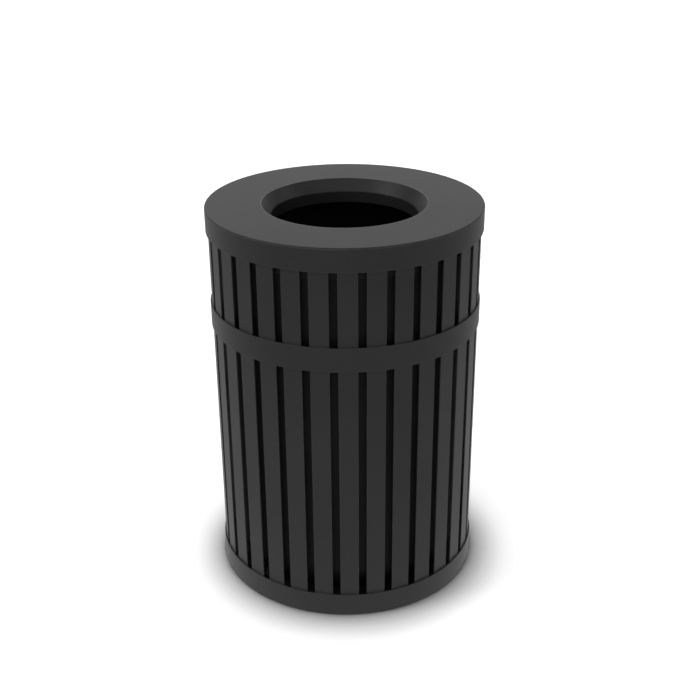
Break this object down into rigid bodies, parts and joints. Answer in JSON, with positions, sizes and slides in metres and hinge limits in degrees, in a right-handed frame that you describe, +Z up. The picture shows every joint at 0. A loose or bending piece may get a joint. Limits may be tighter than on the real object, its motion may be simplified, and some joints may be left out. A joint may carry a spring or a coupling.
{
  "type": "litter bin",
  "caption": "Round outdoor litter bin: a cage of upright flat steel slats between bands, a flat lift-off lid with a funnel mouth, and a moulded liner that lifts out.",
  "frame": {"origin": "on the ground, at the centre of the bottom band", "axes": "+Z up along the axis of the body; -Y is the side that faces the picture's camera, where a slat is centred; +X is to the right of that view"},
  "size_m": [0.59, 0.59, 0.85],
  "materials": {
    "powder_coat": "semi-matt black powder coat",
    "liner_plastic": "black moulded plastic with a fine grain",
    "buffer_rubber": "matt black rubber",
    "zinc_steel": "black zinc plate",
    "foot_plastic": "matt black moulded plastic"
  },
  "bodies": {
    "frame": {"slat_01": "powder_coat", "slat_02": "powder_coat", "slat_03": "powder_coat", "slat_04": "powder_coat", "slat_05": "powder_coat", "slat_06": "powder_coat", "slat_07": "powder_coat", "slat_08": "powder_coat", "slat_09": "powder_coat", "slat_10": "powder_coat", "slat_11": "powder_coat", "slat_12": "powder_coat", "slat_13": "powder_coat", "slat_14": "powder_coat", "slat_15": "powder_coat", "slat_16": "powder_coat", "slat_17": "powder_coat", "slat_18": "powder_coat", "slat_19": "powder_coat", "slat_20": "powder_coat", "slat_21": "powder_coat", "slat_22": "powder_coat", "slat_23": "powder_coat", "slat_24": "powder_coat", "slat_25": "powder_coat", "slat_26": "powder_coat", "slat_27": "powder_coat", "slat_28": "powder_coat", "slat_29": "powder_coat", "slat_30": "powder_coat", "slat_31": "powder_coat", "slat_32": "powder_coat", "top_ring": "powder_coat", "mid_band": "powder_coat", "bottom_band": "powder_coat", "base_ring": "powder_coat", "base_plate": "powder_coat", "weld_nuts": "powder_coat"},
    "liner": {"liner": "liner_plastic"},
    "lid": {"lid_plate": "powder_coat", "lid_skirt": "powder_coat", "lid_funnel": "powder_coat", "lid_buffers": "buffer_rubber"},
    "foot_1": {"foot_stud_01": "zinc_steel", "foot_pad_01": "foot_plastic"},
    "foot_2": {"foot_stud_02": "zinc_steel", "foot_pad_02": "foot_plastic"},
    "foot_3": {"foot_stud_03": "zinc_steel", "foot_pad_03": "foot_plastic"},
    "foot_4": {"foot_stud_04": "zinc_steel", "foot_pad_04": "foot_plastic"}
  },
  "joints": [
    {"name": "liner_lift", "type": "slide", "parent": "frame", "child": "liner", "axis": [0, 0, 1], "range_m": [0, 0.83]},
    {"name": "lid_lift", "type": "slide", "parent": "liner", "child": "lid", "axis": [0, 0, 1], "range_m": [0, 0.25]},
    {"name": "foot_1_screw", "type": "slide", "parent": "frame", "child": "foot_1", "axis": [0, 0, 1], "range_m": [-0.02, 0]},
    {"name": "foot_2_screw", "type": "slide", "parent": "frame", "child": "foot_2", "axis": [0, 0, 1], "range_m": [-0.02, 0]},
    {"name": "foot_3_screw", "type": "slide", "parent": "frame", "child": "foot_3", "axis": [0, 0, 1], "range_m": [-0.02, 0]},
    {"name": "foot_4_screw", "type": "slide", "parent": "frame", "child": "foot_4", "axis": [0, 0, 1], "range_m": [-0.02, 0]}
  ]
}
